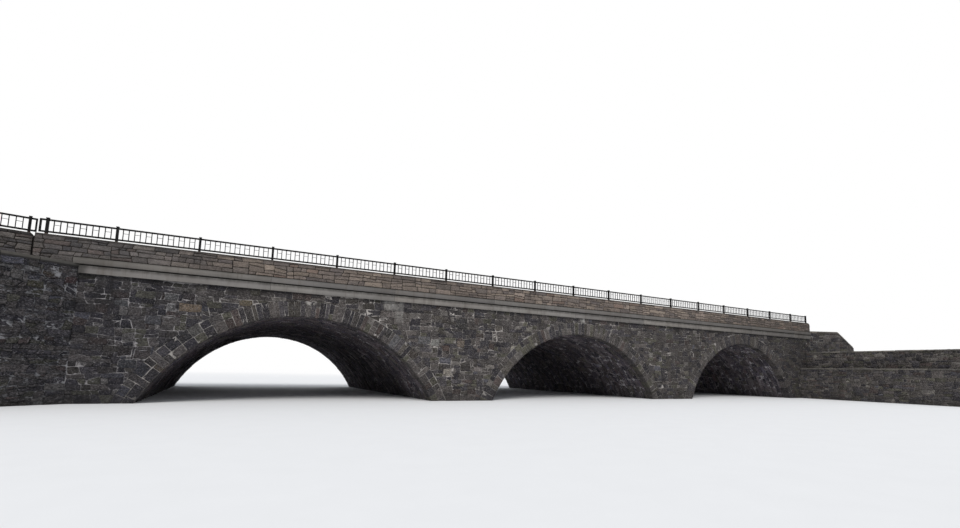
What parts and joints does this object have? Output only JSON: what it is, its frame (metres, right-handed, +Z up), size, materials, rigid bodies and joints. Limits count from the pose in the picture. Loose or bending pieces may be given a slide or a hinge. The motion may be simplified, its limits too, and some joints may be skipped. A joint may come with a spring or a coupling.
{
  "type": "1:2 scale model of a three-arch stone road bridge",
  "caption": "Low stone road bridge on segmental arches, with rubble faces, smooth concrete bands, moulded parapets, steel railings, flared wing walls and terrace walls.",
  "frame": {"origin": "centre of the bounding box at the water line, where the piers and walls stand", "axes": "+X along the road, from the end with the flared approach parapets to the end with the terrace walls; +Y away from the front face; +Z up"},
  "size_m": [24.4357, 13.2542, 2.9335],
  "materials": {
    "arch_stone": "rough",
    "rubble_stone": "rough",
    "moulded_concrete": "rough",
    "smooth_concrete": "matte",
    "sidewalk_concrete": "matte",
    "kerb_granite": "matte",
    "asphalt": "matte",
    "railing_paint": "satin"
  },
  "bodies": {
    "root": {"arch_left": "arch_stone", "arch_middle": "arch_stone", "arch_right": "arch_stone", "pier_left": "rubble_stone", "pier_right": "rubble_stone", "abutment_left": "rubble_stone", "abutment_right": "rubble_stone", "spandrel_front_left": "rubble_stone", "spandrel_front_middle": "rubble_stone", "spandrel_front_right": "rubble_stone", "spandrel_back_left": "rubble_stone", "spandrel_back_middle": "rubble_stone", "spandrel_back_right": "rubble_stone", "wing_front_left": "rubble_stone", "wing_back_left": "rubble_stone", "wing_front_right": "rubble_stone", "wing_back_right": "rubble_stone", "wing_coping_front": "smooth_concrete", "wing_coping_back": "smooth_concrete", "terrace_lower": "rubble_stone", "terrace_upper": "rubble_stone", "deck_slab": "smooth_concrete", "road_surface": "asphalt", "sidewalk_front": "sidewalk_concrete", "sidewalk_back": "sidewalk_concrete", "kerbs": "kerb_granite", "band_lower_front": "smooth_concrete", "band_lower_back": "smooth_concrete", "band_upper_front": "smooth_concrete", "band_upper_back": "smooth_concrete", "parapet_front": "moulded_concrete", "parapet_back": "moulded_concrete", "approach_parapet_front": "moulded_concrete", "approach_parapet_back": "moulded_concrete", "posts_front": "railing_paint", "posts_back": "railing_paint", "railing_front_left": "railing_paint", "railing_front_middle": "railing_paint", "railing_front_right": "railing_paint", "railing_back_left": "railing_paint", "railing_back_middle": "railing_paint", "railing_back_right": "railing_paint", "approach_railing_front": "railing_paint", "approach_railing_back": "railing_paint"}
  },
  "joints": []
}
